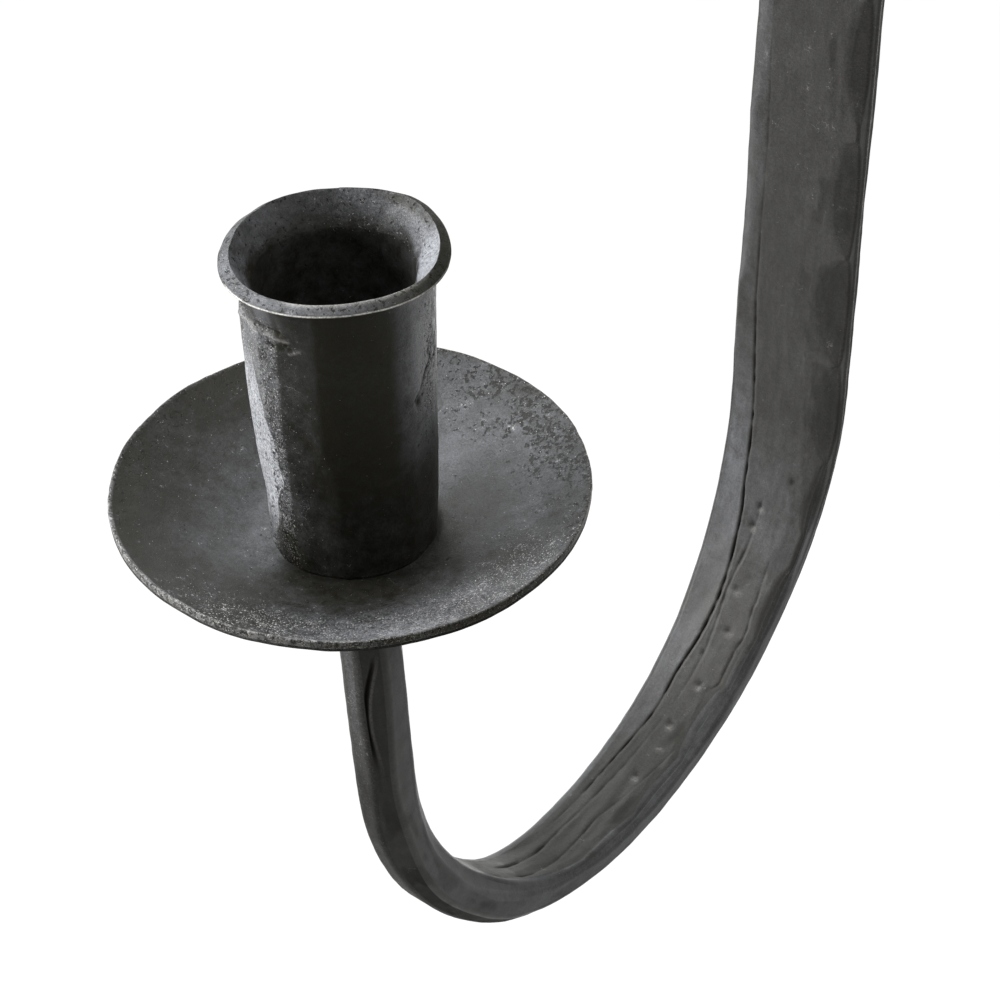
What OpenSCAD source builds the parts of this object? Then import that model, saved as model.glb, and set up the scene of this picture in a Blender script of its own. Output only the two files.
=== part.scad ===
// Hand-forged wall sconce for one taper candle: a flat bar swept into a J, a drip pan and a candle cup.
// The origin is midway between the two wall screw holes, on the back of the bar. +Y goes into the wall.

/* [Arm bar] */
// Width of the flat bar at the wall
bar_w = 23.4; // [18:0.2:28]
// Thickness of the flat bar at the wall
bar_t = 5.2; // [4:0.2:7]
// Height of the bar's top end above the midpoint of the screw holes
bar_rise = 55; // [50:1:80]
// Length over which the top end is rounded off
bar_end_round = 9; // [6:0.5:10]
// Deepest hammered facet on the bar's front edges
facet_depth = 1.5; // [0.4:0.1:1.7]
// Distance along the bar between hammered facets
facet_pitch = 22; // [16:1:30]

/* [Arm neck] */
// Width of the neck, seen from the front
neck_w = 10.4; // [9.6:0.2:13]
// Depth of the neck, seen from the side
neck_d = 10.7; // [9.6:0.2:13]
// Height of the screw holes' midpoint above the neck's shoulder
neck_drop = 124.5; // [110:0.5:150]
// Lean of the neck from the vertical at the pan, in degrees
neck_lean_angle = 2.4; // [0:0.2:4]
// Radius of the neck's slow curve
neck_r = 1150; // [600:50:2000]
// Turn of the neck's slow curve, in degrees
neck_angle = 2.8; // [1:0.2:4]

/* [Arm hook] */
// Radius where the neck turns into the hook
fore_r = 75; // [65:1:90]
// Turn of that curve, in degrees
fore_angle = 44; // [38:1:50]
// Radius of the tight bend at the bottom
heel_r = 40; // [32:1:50]
// Turn of the tight bend, in degrees
heel_angle = 42.8; // [36:0.4:50]
// Radius of the sweep that climbs to the wall
sweep_r = 62; // [54:1:72]
// Turn of the sweep, in degrees
sweep_angle = 54.2; // [46:0.2:60]
// Radius of the last curve into the upright bar
rise_r = 83.5; // [70:0.5:100]
// Distance along the arm at which the neck starts to flatten
flat_start = 84; // [70:1:95]
// Distance along the arm over which it thins
thin_run = 64; // [50:1:90]
// Distance along the arm over which it widens
widen_run = 162; // [130:1:180]

/* [Wall screws] */
// Diameter of each wall screw hole
screw_hole_d = 5.5; // [4:0.1:7]
// Distance between the two wall screw holes
screw_spacing = 80; // [60:1:84]

/* [Drip pan] */
// Diameter of the drip pan
pan_d = 75; // [60:1:90]
// Thickness of the pan's sheet
pan_t = 1.5; // [1:0.1:2]
// Depth of the pan, from its rim to its seat
pan_depth = 8; // [5:0.5:11]
// Flat ring of the seat that shows round the cup
seat_margin = 0.6; // [0.4:0.1:2]

/* [Candle cup] */
// Diameter of the candle that the cup takes
candle_d = 22; // [20:0.1:23]
// Play round the candle, on the diameter
candle_play = 0.8; // [0.4:0.1:1.2]
// Wall of the cup at its foot
cup_foot_wall = 1.65; // [1.4:0.05:2.4]
// Outer taper of the cup, on its radius, from foot to lip
cup_taper = 1.7; // [1:0.1:2.4]
// Height of the cup from its foot to its lip
cup_h = 52.2; // [44:0.2:60]
// Width of the ledge that the candle stands on
ledge_w = 0.8; // [0.5:0.1:1]
// Length of the straight socket above the ledge
socket_len = 26; // [20:1:30]
// Radius of the lip's outer edge beyond the tube
lip_out = 2.2; // [1.6:0.1:3]
// Height of the flare under the lip
flare_h = 4; // [3:0.2:6]
// Thickness of the lip's edge
lip_t = 1.9; // [1.4:0.1:2.6]
// Number of hammered flats round the cup
flat_count = 12; // [8:1:16]
// Depth of each hammered flat
flat_depth = 0.3; // [0.1:0.05:0.4]

/* [Clamp screw] */
// Nominal diameter of the clamp screw
clamp_d = 5; // [4:0.5:5]
// Length of the screw that goes into the neck
clamp_grip = 12; // [8:1:18]
// Diameter of the screw's head
clamp_head_d = 9.5; // [9:0.1:10]
// Height of the screw's head
clamp_head_h = 2.7; // [2.2:0.1:3.5]
// Diameter of the washer
washer_d = 14; // [11:0.5:18]
// Thickness of the washer
washer_t = 1; // [0.8:0.1:1.5]
// Thickness of the disc that closes the cup
floor_t = 2; // [1.5:0.1:3]
// Gap between the screw's head and the candle's foot
head_gap = 0.3; // [0.2:0.1:1]

/* [Hidden] */
$fn = 96;
iron = "#2d2d2e";
steel = "#5a5a5c";
cut = 0.5;
ring_step = 3.5;
end_rings = 7;
end_narrow_share = 0.18;
level_len = 10;
facet_spread_ratio = 2;
neck_chamfer_share = 0.68;
bar_chamfer_share = 0.3;
screw_play = 0.3;
thread_play = 0.2;
hole_spare = 1;
floor_play = 0.2;
hex_share = 0.4;
hex_depth_share = 0.55;
arc_steps = 12;
quarter = 90;
half_turn = 180;

// The arm's centre line is a chain of arcs, from the neck's shoulder down and round to the wall.
radii = [neck_r, fore_r, heel_r, sweep_r, rise_r];
last_angle = half_turn - neck_lean_angle - neck_angle - fore_angle - heel_angle - sweep_angle;
angles = [neck_angle, fore_angle, heel_angle, sweep_angle, last_angle];
arc_count = len(radii);
// Heading at the start of each arc. A heading of 0 points straight down and 180 straight up.
function heading_at(i) = i == 0 ? neck_lean_angle : heading_at(i - 1) + angles[i - 1];
headings = [for (i = [0:arc_count]) heading_at(i)];
// Length, reach towards the wall and drop below the shoulder at the start of each arc.
function length_at(i) = i == 0 ? 0 : length_at(i - 1) + radii[i - 1] * angles[i - 1] * PI / half_turn;
function reach_of(i, h) = radii[i] * (cos(headings[i]) - cos(h));
function drop_of(i, h) = radii[i] * (sin(h) - sin(headings[i]));
function reach_at(i) = i == 0 ? 0 : reach_at(i - 1) + reach_of(i - 1, headings[i]);
function drop_at(i) = i == 0 ? 0 : drop_at(i - 1) + drop_of(i - 1, headings[i]);
lengths = [for (i = [0:arc_count]) length_at(i)];
bend_len = lengths[arc_count];
bend_reach = reach_at(arc_count);
bend_drop = drop_at(arc_count);
arm_len = bend_len + bend_drop + neck_drop + bar_rise;

// Where the cup's axis and the shoulder stand, so that the bar's back lies on the wall at y = 0.
axis_y = -(bend_reach + bar_t / 2);
shoulder_z = -neck_drop;
seat_z = shoulder_z + pan_t;

// Point of the centre line at distance s, as heading, reach and drop.
function arc_of(s, i = 0) = i < arc_count - 1 && s > lengths[i + 1] ? arc_of(s, i + 1) : i;
function on_arc(i, h) = [h, reach_at(i) + reach_of(i, h), drop_at(i) + drop_of(i, h)];
function on_bend(s, i) = on_arc(i, headings[i] + (s - lengths[i]) / radii[i] * half_turn / PI);
function on_bar(s) = [half_turn, bend_reach, bend_drop + bend_len - s];
function centre(s) = s > bend_len ? on_bar(s) : on_bend(s, arc_of(s));

// Section along the arm: width and depth ramp from the square neck to the flat bar.
function ramp(x) = min(1, max(0, x));
function smooth(x) = ramp(x) * ramp(x) * (3 - 2 * ramp(x));
function end_share(s) = max(0, (s - arm_len + bar_end_round) / bar_end_round);
function round_off(s) = sqrt(max(end_narrow_share * end_narrow_share, 1 - end_share(s) * end_share(s)));
function width(s) = (neck_w + (bar_w - neck_w) * ramp((s - flat_start) / widen_run)) * round_off(s);
function depth(s) = neck_d + (bar_t - neck_d) * smooth((s - flat_start) / thin_run);
function flatness(s) = smooth((s - flat_start) / widen_run);
function chamfer_share(s) = neck_chamfer_share + (bar_chamfer_share - neck_chamfer_share) * flatness(s);
function chamfer(s) = min(width(s), depth(s)) / 2 * chamfer_share(s);
// Hammered facets cut the front edges in shallow scallops, out of step on the two sides.
function facet(s, side) = facet_depth * flatness(s) * pow(sin(half_turn * (s / facet_pitch + side / 4)), 2);

// A front corner is cut by its chamfer and its facet, which reaches further over the face than down.
function front_corner(s, side) =
    let (down = min(chamfer(s) + facet(s, side), depth(s) / 2))
    let (over = min(chamfer(s) + facet_spread_ratio * facet(s, side), width(s) / 4))
    [[width(s) / 2, depth(s) / 2 - down], [width(s) / 2 - over, depth(s) / 2]];
// One ring of the arm has eight corners: two for each front corner, then two for each back one.
function ring_corners(s) =
    let (right = front_corner(s, 0), left = front_corner(s, 1))
    let (a = width(s) / 2, b = depth(s) / 2, c = chamfer(s))
    [
        right[0], right[1], [-left[1][0], left[1][1]], [-left[0][0], left[0][1]],
        [-a, c - b], [c - a, -b], [a - c, -b], [a, c - b]
    ];
// Rings stand square to the centre line, and turn level where they meet the shoulder.
function place(p, s) =
    let (m = centre(s), tilt = m[0] * ramp(s / level_len))
    [p[0], axis_y + m[1] + p[1] * cos(tilt), shoulder_z - m[2] + p[1] * sin(tilt)];
even_count = floor((arm_len - bar_end_round) / ring_step);
even_step = (arm_len - bar_end_round) / even_count;
stations = [
    for (i = [0:even_count]) i * even_step,
    for (i = [1:end_rings]) arm_len - bar_end_round * (1 - sin(quarter * i / end_rings))
];
corners = 8;
arm_points = [for (s = stations) for (p = ring_corners(s)) place(p, s)];
last_ring = (len(stations) - 1) * corners;
arm_faces = [
    [for (k = [corners - 1:-1:0]) k],
    for (i = [0:len(stations) - 2]) for (k = [0:corners - 1])
        let (p = i * corners + k, q = i * corners + (k + 1) % corners)
        each [[p, q, q + corners], [p, q + corners, p + corners]],
    [for (k = [0:corners - 1]) last_ring + k]
];

// Candle cup radii, from the candle outwards, and heights above the pan's seat.
socket_r = (candle_d + candle_play) / 2;
foot_r = socket_r + cup_foot_wall;
lip_r = foot_r + cup_taper + lip_out;
recess_r = socket_r - ledge_w;
throat_r = foot_r + cup_taper - lip_t;
mouth_r = lip_r - lip_t / 2;
flare_z = cup_h - lip_t - flare_h;
head_z = floor_t + washer_t;
ledge_h = head_z + clamp_head_h + head_gap;
seat_r = foot_r + seat_margin;
floor_r = recess_r - floor_play / 2;
clear_r = (clamp_d + screw_play) / 2;
shank_r = (clamp_d - thread_play) / 2;

// The pan is a shallow dish: one arc from the flat seat to the rim.
pan_r = pan_d / 2;
chord_slope = atan2(pan_depth, pan_r - seat_r);
dish_r = norm([pan_depth, pan_r - seat_r]) / (2 * sin(chord_slope / 2));
dish = [
    for (i = [0:arc_steps])
        let (t = chord_slope / 2 + chord_slope * i / arc_steps)
        [seat_r + dish_r * (sin(t) - sin(chord_slope / 2)), dish_r * (cos(chord_slope / 2) - cos(t)), t]
];
dish_top = [for (p = dish) [p[0], p[1]]];
dish_under = [for (p = dish) [min(pan_r, p[0] + pan_t * sin(p[2])), p[1] - pan_t * cos(p[2])]];

module arm() {
    color(iron)
    difference() {
        polyhedron(points = arm_points, faces = arm_faces, convexity = 6);
        for (side = [-1, 1])
            translate([0, 0, side * screw_spacing / 2])
                rotate([quarter, 0, 0])
                    cylinder(d = screw_hole_d, h = 4 * bar_t, center = true);
        translate([0, axis_y, shoulder_z - clamp_grip - hole_spare])
            cylinder(d = clamp_d, h = clamp_grip + hole_spare + cut);
    }
}

module drip_pan() {
    color(iron)
    translate([0, axis_y, seat_z])
        rotate_extrude()
            polygon(concat(
                [[clear_r, 0]],
                dish_top,
                [for (i = [arc_steps:-1:0]) dish_under[i]],
                [[clear_r, -pan_t]]
            ));
}

module cup_profile() {
    polygon(concat(
        [[recess_r, 0], [foot_r, 0]],
        [for (i = [0:arc_steps])
            let (t = quarter * i / arc_steps)
            [foot_r + cup_taper + lip_out * (1 - cos(t)), flare_z + flare_h * sin(t)]],
        [[lip_r, cup_h - lip_t / 4], [lip_r - lip_t / 4, cup_h]],
        [for (i = [arc_steps:-1:0])
            let (t = quarter * i / arc_steps)
            [throat_r + (mouth_r - throat_r) * (1 - cos(t)), flare_z + (cup_h - flare_z) * sin(t)]],
        [[socket_r, ledge_h + socket_len], [socket_r, ledge_h], [recess_r, ledge_h]]
    ));
}

module candle_cup() {
    tilt = atan2(cup_taper, flare_z);
    color(iron)
    translate([0, axis_y, seat_z])
        difference() {
            rotate_extrude() cup_profile();
            for (i = [0:flat_count - 1])
                rotate([0, 0, (i + 0.5) * 2 * half_turn / flat_count])
                    translate([foot_r - flat_depth, 0, 0])
                        rotate([0, tilt, 0])
                            translate([0, -foot_r / 2, -cut])
                                cube([foot_r, foot_r, flare_z + cut]);
        }
}

module cup_floor() {
    color(iron)
    translate([0, axis_y, seat_z])
        difference() {
            cylinder(r = floor_r, h = floor_t);
            translate([0, 0, -cut]) cylinder(r = clear_r, h = floor_t + 2 * cut);
        }
}

module screw_washer() {
    color(steel)
    translate([0, axis_y, seat_z + floor_t])
        difference() {
            cylinder(d = washer_d, h = washer_t);
            translate([0, 0, -cut]) cylinder(r = clear_r, h = washer_t + 2 * cut);
        }
}

module clamp_screw() {
    shank_len = head_z + pan_t + clamp_grip;
    crown_r = clamp_head_d / 4;
    rim_h = clamp_head_h / 4;
    head = [
        for (i = [0:arc_steps])
            let (t = quarter * i / arc_steps)
            [crown_r + (clamp_head_d / 2 - crown_r) * cos(t), rim_h + (clamp_head_h - rim_h) * sin(t)]
    ];
    color(steel)
    translate([0, axis_y, seat_z + head_z])
        difference() {
            union() {
                rotate_extrude()
                    polygon(concat([[0, 0], [clamp_head_d / 2, 0]], head, [[0, clamp_head_h]]));
                translate([0, 0, -shank_len]) cylinder(r = shank_r, h = shank_len + cut);
            }
            translate([0, 0, clamp_head_h * (1 - hex_depth_share)])
                cylinder(d = clamp_head_d * hex_share, h = clamp_head_h, $fn = 6);
        }
}

arm();
drip_pan();
candle_cup();
cup_floor();
screw_washer();
clamp_screw();
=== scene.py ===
import bpy
from functools import reduce
from math import atan2, cos, hypot, pi, radians, sin
import numpy as np
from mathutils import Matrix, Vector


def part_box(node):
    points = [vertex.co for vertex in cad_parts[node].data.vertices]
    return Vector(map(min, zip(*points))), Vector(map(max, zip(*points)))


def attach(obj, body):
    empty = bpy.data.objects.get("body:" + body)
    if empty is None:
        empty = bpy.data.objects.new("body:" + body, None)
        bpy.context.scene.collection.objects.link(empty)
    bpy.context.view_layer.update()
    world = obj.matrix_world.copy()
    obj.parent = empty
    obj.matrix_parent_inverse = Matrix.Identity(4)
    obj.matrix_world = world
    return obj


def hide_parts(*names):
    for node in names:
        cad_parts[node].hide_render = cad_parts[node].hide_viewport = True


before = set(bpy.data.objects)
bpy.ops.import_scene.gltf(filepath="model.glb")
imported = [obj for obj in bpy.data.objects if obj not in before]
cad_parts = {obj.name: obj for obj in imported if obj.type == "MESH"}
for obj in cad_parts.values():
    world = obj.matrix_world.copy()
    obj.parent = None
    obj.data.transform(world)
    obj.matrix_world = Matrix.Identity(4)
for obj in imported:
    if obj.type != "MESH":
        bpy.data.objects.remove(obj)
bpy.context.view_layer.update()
panLow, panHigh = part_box("drip_pan")
armLow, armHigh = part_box("arm")
axisY = (panLow.y + panHigh.y) / 2    # the candle's axis
rimZ = panHigh.z
shoulderZ = panLow.z
mm = 1000    # millimetres in a metre
print("frame loaded, candle axis at y =", round(axisY, 4))


class Settings(dict):
    __getattr__ = dict.__getitem__    # c.width reads c["width"]


def newObject(name, data):
    made = bpy.data.objects.new(name, data)
    bpy.context.scene.collection.objects.link(made)
    return made


# Camera: at a distance, azimuth and elevation from the centre of the pan's rim, then turned a little off it
camera = Settings(lens=108, sensor=36, distance=0.46558, azimuth=44, elevation=39.36, turn=3.667, tilt=0.336)


def makeCamera(c):
    az, el = radians(c.azimuth), radians(c.elevation)
    data = bpy.data.cameras.new("photoCamera")
    data.lens, data.sensor_width = c.lens, c.sensor
    data.clip_start, data.clip_end = 0.01, 50
    cam = newObject("photoCamera", data)
    flat = c.distance * cos(el)
    cam.location = (flat * sin(az), axisY - flat * cos(az), rimZ + c.distance * sin(el))
    down = radians(90 - c.elevation - c.tilt)
    cam.rotation_euler = (down, 0, radians(c.azimuth - c.turn))
    bpy.context.scene.camera = cam


makeCamera(camera)
# The way to the camera, seen from above, as an angle about the candle's axis
toCamera = radians(camera.azimuth - camera.turn) - pi / 2
print("camera set")


# Small tools for arrays

def rise(x, start, run):
    # from 0 at the start to 1 after the run: three squares less two cubes, so both ends are level
    x = np.clip((x - start) / run, 0, 1)
    return x * x * (3 - 2 * x)


def drop(x, end, run):
    # the rise turned round: down to 0 at the end
    return rise(-x, -end, run)


def span(x, start, run, end, fade):
    # a rise and then a drop
    return rise(x, start, run) * drop(x, end, fade)


def bell(x, at, half):
    # a Gauss curve: 1 at its middle
    return np.exp(-((x - at) / half) ** 2)


def facing(deg, at, start, run):
    # round the axis: the cosine of the angle from a direction, made to rise from 0 to 1
    return rise(np.cos(np.radians(deg - at)), start, run)


def unit(x):
    return np.clip(x, 0, 1)


def most(*fields):
    # the greatest of several fields, place by place
    return reduce(np.maximum, fields)


def curve(x, knots, values):
    # a smooth curve through the knots: straight runs, eased by averaging three shifted copies
    step = 0.25 * np.min(np.diff(knots))
    return sum(np.interp(x + d, knots, values) for d in (-step, 0, step)) / 3


def noise(p, size, seed):
    # lattice noise from -1 to 1: random values at whole numbers, eased between them along the three axes
    table = np.random.default_rng(seed).uniform(-1, 1, 4096)
    q = p / np.asarray(size, float)
    base = np.floor(q).astype(int)
    f = q - base
    f = f * f * (3 - 2 * f)
    total = 0
    for corner in range(8):
        d = np.array([corner & 1, corner >> 1 & 1, corner >> 2 & 1])
        n = base + d
        key = (n[..., 0] * 7919 + n[..., 1] * 104729 + n[..., 2] * 1299709) % 4096
        total += np.prod(np.where(d, f, 1 - f), axis=-1) * table[key]
    return total


def wander(x, size, seed, aside=0.0):
    # noise read along one line of the lattice
    return noise(np.stack([x, x * 0 + aside, x * 0], -1), (size, 1, 1), seed)


def layered(p, size, seed):
    # three layers of noise, each half the size and half the height of the one before
    size = np.asarray(size, float)
    return sum(noise(p, size / 2 ** i, seed + i) / 2 ** i for i in range(3))


def groove(x, at, half):
    # a rounded furrow across x: 1 at its middle and 0 past its half width
    return unit(1 - ((x - at) / half) ** 2) ** 1.5


def gridMesh(name, points, uv, attributes, closedRows=True, capped=False):
    # points is rows x columns x 3. Columns always join round; rows join round too on a ring-shaped profile
    rows, cols = points.shape[:2]
    index = np.arange(rows * cols).reshape(rows, cols)
    right = np.roll(index, -1, axis=1)
    below = np.roll(index, -1, axis=0)
    belowRight = np.roll(right, -1, axis=0)
    last = rows if closedRows else rows - 1
    quads = np.stack([index, right, belowRight, below], -1)[:last].reshape(-1, 4)
    caps = [index[0][::-1], index[-1]] if capped else []
    verts = points.reshape(-1, 3)
    # faces turn outwards where the volume inside, a sum of triple products, would be below 0
    a, b, c, d = (verts - verts.mean(0))[quads.T]
    if np.sum(a * np.cross(b, c)) + np.sum(a * np.cross(c, d)) < 0:
        quads, caps = quads[:, ::-1], [cap[::-1] for cap in caps]
    loops = np.concatenate([quads.ravel()] + caps)
    sizes = np.concatenate([np.full(len(quads), 4), [len(cap) for cap in caps]]).astype(int)
    mesh = bpy.data.meshes.new(name)
    mesh.vertices.add(len(verts))
    mesh.vertices.foreach_set("co", verts.astype(np.float32).ravel())
    mesh.loops.add(len(loops))
    mesh.loops.foreach_set("vertex_index", loops.astype(np.int32))
    mesh.polygons.add(len(sizes))
    mesh.polygons.foreach_set("loop_start", (np.cumsum(sizes) - sizes).astype(np.int32))
    mesh.polygons.foreach_set("use_smooth", np.ones(len(sizes), bool))
    layer = mesh.uv_layers.new(name="surface")
    layer.data.foreach_set("uv", uv.reshape(-1, 2)[loops].astype(np.float32).ravel())
    for key, values in attributes.items():
        field = mesh.attributes.new(key, "FLOAT", "POINT")
        field.data.foreach_set("value", values.astype(np.float32).ravel())
    mesh.update()
    mesh.validate()
    return newObject(name, mesh)


# Arm: a bar swept along five arcs and then straight up. Lengths are millimetres along and across it
arm = Settings(
    lean=2.4,
    arcs=[(1150, 2.8), (75, 44), (40, 42.8), (62, 54.2), (83.5, 33.8)],    # radius, turn in degrees
    sizeAt=[0, 45, 80, 112, 145, 190, 246, 316, 480],
    width=[10.5, 9.75, 9.5, 12.7, 15.9, 18.3, 24.1, 23.8, 23.4],
    depth=[10.66, 10.8, 9.8, 9.5, 5.79, 5.7, 4.6, 5.2, 5.2],
    chamferAt=[0, 90, 150, 300, 480],
    chamfer=[0.7, 0.6, 0.42, 0.3, 0.3],    # share of half the smaller side
    drift=1.72,    # the neck wanders this far sideways
    swayAt=[175, 210, 290, 325, 480], sway=[0, -0.2, -0.1, 0.1, 0],
    endRound=9, endRings=12, holeHeights=(-40, 40), holeR=2.75,
    seenTo=345, seenStep=0.6, farStep=1.8,
    # the section's edges, from the room-side face round by the right: first corner's radius, and columns
    cornerRound=[0.9, 0.8, 0.5, 0.6, 0.7, 0.7, 0.6, 0.6],
    edgeColumns=[0, 9, 11, 22, 9, 4, 6, 7],
    # columns of the inner face: over a crack, as shares of its room, and counts before, between and after
    crackColumns=[-0.9, -0.5, -0.26, -0.13, 0, 0.13, 0.26, 0.5, 0.9], plainColumns=[6, 3, 5, 8],
    # hammer facets on the room-side edges: distance along, half length, reach over the face and depth
    rightFacets=[(328, 12, 3.3, 1), (299.5, 12, 4.7, 1.1), (275.5, 11, 5.4, 1.2), (252, 12, 4.4, 1.1),
                 (231, 8, 1.4, 0.6), (208, 9, 1.5, 0.6), (194, 8, 1, 0.5), (179, 10, 2, 0.7),
                 (163, 9, 1.2, 0.6), (148, 9, 0.8, 0.5), (354, 10, 4.6, 1.1), (380, 11, 4, 1),
                 (407, 12, 4.8, 1.2), (434, 11, 4.2, 1.1)],
    leftFacets=[(333, 26, 2.4, 0.4), (292, 20, 1.8, 0.35), (380, 20, 2.6, 0.45), (415, 16, 2.2, 0.4),
                (444, 14, 2.6, 0.45)],
    leftSlope=0.075,    # below the facets the face falls away left of the long crack
)


def armPath(s, c):
    # heading, reach and height along the arcs: each adds its radius times the change of cosine and sine
    heading = np.full(s.shape, 180.0)
    reach, height = np.zeros(s.shape), np.zeros(s.shape)
    start, h, u, z = 0, c.lean, 0, 0
    for radius, turn in c.arcs:
        on = s >= start
        now = np.minimum(h + np.degrees((s - start) / radius), h + turn)
        r0, r1, r2 = radians(h), np.radians(now), radians(h + turn)
        heading = np.where(on, now, heading)
        reach = np.where(on, u + radius * (cos(r0) - np.cos(r1)), reach)
        height = np.where(on, z - radius * (np.sin(r1) - sin(r0)), height)
        u, z = u + radius * (cos(r0) - cos(r2)), z - radius * (sin(r2) - sin(r0))
        start, h = start + radius * radians(turn), h + turn
    height = np.where(s > start, z + s - start, height)
    return heading, reach, height, start, z


def facetCut(s, facets):
    # each hammer blow leaves an oval: its reach and depth fall off nearly as an ellipse from its middle
    over, down = np.zeros(s.shape), np.zeros(s.shape)
    for at, half, reach, depth in facets:
        t = unit(1 - ((s - at) / half) ** 2)
        over, down = most(over, reach * t ** 0.7), most(down, depth * t)
    return over, down


# Folds and cracks on the inner face: distance along, place across, depth and half width in millimetres
cracks = dict(
    long=Settings(
        along=[140, 159, 165, 177, 186, 195, 203, 211, 217, 222, 228, 236, 246, 270, 288, 305, 318, 330, 360],
        across=[-4.6, -4.8, -4.5, -3.3, -3.7, -2.7, -2.35, -2.7, -3.3, -3.75, -4.85, -5.55, -6.2, -7.3, -7.25,
                -7, -7.4, -7.8, -8],
        depthAt=[140, 150, 160, 175, 195, 215, 232, 246, 262, 275, 290, 318, 345],
        depth=[0, 0.2, 0.3, 0.45, 0.6, 0.65, 0.6, 0.45, 0.3, 0.16, 0.1, 0.08, 0],
        half=0.34),
    middle=Settings(
        along=[118, 131, 143, 156, 169, 180, 192, 206, 211, 216, 235, 345],
        across=[-0.6, -0.9, -2.4, -2.3, -1.5, -0.6, -0.2, -1.3, -0.9, -0.3, 0.3, 0.5],
        depthAt=[116, 122, 140, 150, 168, 176, 198, 206, 214, 220, 235],
        depth=[0, 0.35, 0.3, 0.2, 0.15, 0.05, 0.1, 0.2, 0.2, 0.08, 0],
        half=0.4),
    outer=Settings(
        along=[118, 135, 150, 165, 176, 185, 192, 200, 209, 235, 345],
        across=[3.6, 2.8, 1.2, 3.8, 5.7, 5.6, 5.9, 6.2, 5.4, 5, 5],
        depthAt=[116, 122, 136, 144, 150, 158, 165, 172, 185, 200, 209, 216],
        depth=[0, 0.3, 0.12, 0.25, 0.28, 0.05, 0.08, 0.18, 0.2, 0.2, 0.12, 0],
        half=0.36),
)
# Pits left by scale: distance along, place across, depth and radius
pits = [(225, -0.3, 0.34, 0.9), (220.6, -0.7, 0.38, 1), (207, 0.5, 0.3, 0.9), (198.5, 2.3, 0.26, 0.9),
        (186, 1.8, 0.34, 1), (176, 0.9, 0.3, 1), (171, 1.85, 0.28, 0.9), (233, 5.2, 0.15, 1.2),
        (192, -0.6, 0.2, 0.8), (163, 1.4, 0.25, 1.1), (261, -0.3, 0.1, 1.1), (300, 0.6, 0.08, 0.8),
        (312, -3.4, 0.07, 0.7), (288, 4.2, 0.08, 0.8)]
# The cold shut down the neck's camera-side facet: place along, place across the facet, depth and half width
neckShut = Settings(
    alongAt=[20, 24, 28, 32, 36, 40, 44, 48, 54],
    across=[0.9, 0.2, -1.2, -2.1, -2.4, -2.2, -1.5, -0.9, -0.6],
    depth=[0, 0.5, 0.8, 0.9, 0.85, 0.7, 0.5, 0.25, 0], half=0.77)


def drill(piece, z, radius, reach=0.03, sides=48):
    # cuts a round hole through the bar, from the room to the wall
    t = np.arange(sides) / sides * 2 * pi
    y = np.array([[-reach], [reach]])
    ring = np.stack([radius * np.cos(t) + 0 * y, y + 0 * t, z + radius * np.sin(t) + 0 * y], -1)
    cutter = gridMesh("cutter", ring, np.zeros((2, sides, 2)), {}, closedRows=False, capped=True)
    cut = piece.modifiers.new("hole", "BOOLEAN")
    cut.operation, cut.solver, cut.object = "DIFFERENCE", "EXACT", cutter
    shape = piece.evaluated_get(bpy.context.evaluated_depsgraph_get())
    piece.data = bpy.data.meshes.new_from_object(shape)
    piece.modifiers.clear()
    bpy.data.objects.remove(cutter)


def armStations(c):
    # distances of the rings: close where the photo shows the arm, wider above it, and gathered round the end
    _, _, _, bendLength, bendHeight = armPath(np.zeros(1), c)
    length = bendLength + (armHigh.z - shoulderZ) * mm - bendHeight
    straightTo = length - c.endRound
    s = np.concatenate([
        np.linspace(0, c.seenTo, int(c.seenTo / c.seenStep)),
        np.linspace(c.seenTo, straightTo, int((straightTo - c.seenTo) / c.farStep))[1:],
        length - c.endRound * (1 - np.sin(np.linspace(0, pi / 2, c.endRings)[1:]))])
    return s, length


def armCorners(s, length, c):
    # the section's eight corners: half the width and depth, less the chamfers and hammer facets
    end = unit((s - length + c.endRound) / c.endRound)
    a = curve(s, c.sizeAt, c.width) / 2 * np.sqrt(np.maximum(0.03, 1 - end ** 2))
    b = curve(s, c.sizeAt, c.depth) / 2 * (1 - 0.35 * end ** 4)
    chamfer = np.minimum(a, b) * curve(s, c.chamferAt, c.chamfer)
    flat = rise(s, 95, 60)    # the neck's corners are plain, the bar's are hammered
    ragged = 1 + 0.05 * wander(s, 2.3, 27) + 0.1 * wander(s, 6, 28)
    overR, downR = facetCut(s + 1.2 * wander(s, 5, 29), c.rightFacets)
    overL, downL = facetCut(s, c.leftFacets)
    plainR, plainL = chamfer * (1 - 0.3 * flat), chamfer * (1 - 0.2 * flat)
    overR = np.minimum(plainR + overR * ragged * flat, 0.8 * a)
    overL = np.minimum(plainL + overL * ragged[::-1] * flat, 0.7 * a)
    downR = np.minimum(plainR + downR * flat, 1.2 * b)
    downL = np.minimum(plainL + downL * flat, 1.2 * b)
    back = chamfer * (1 + 0.15 * (0.5 * np.sin(s / 9) + 0.5 * np.sin(s / 5.3 + 1)))
    corners = [(-a + overL, b), (a - overR, b),    # room-side face
               (a, b - downR), (a, -b + back),    # right side
               (a - back, -b), (-a + chamfer, -b),    # wall-side face
               (-a, -b + chamfer), (-a, b - downL)]    # left side
    ovals = unit((downR - chamfer * 0.7) / 0.8)
    return np.stack([np.stack(p, -1) for p in corners], 1), b, ovals


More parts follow.
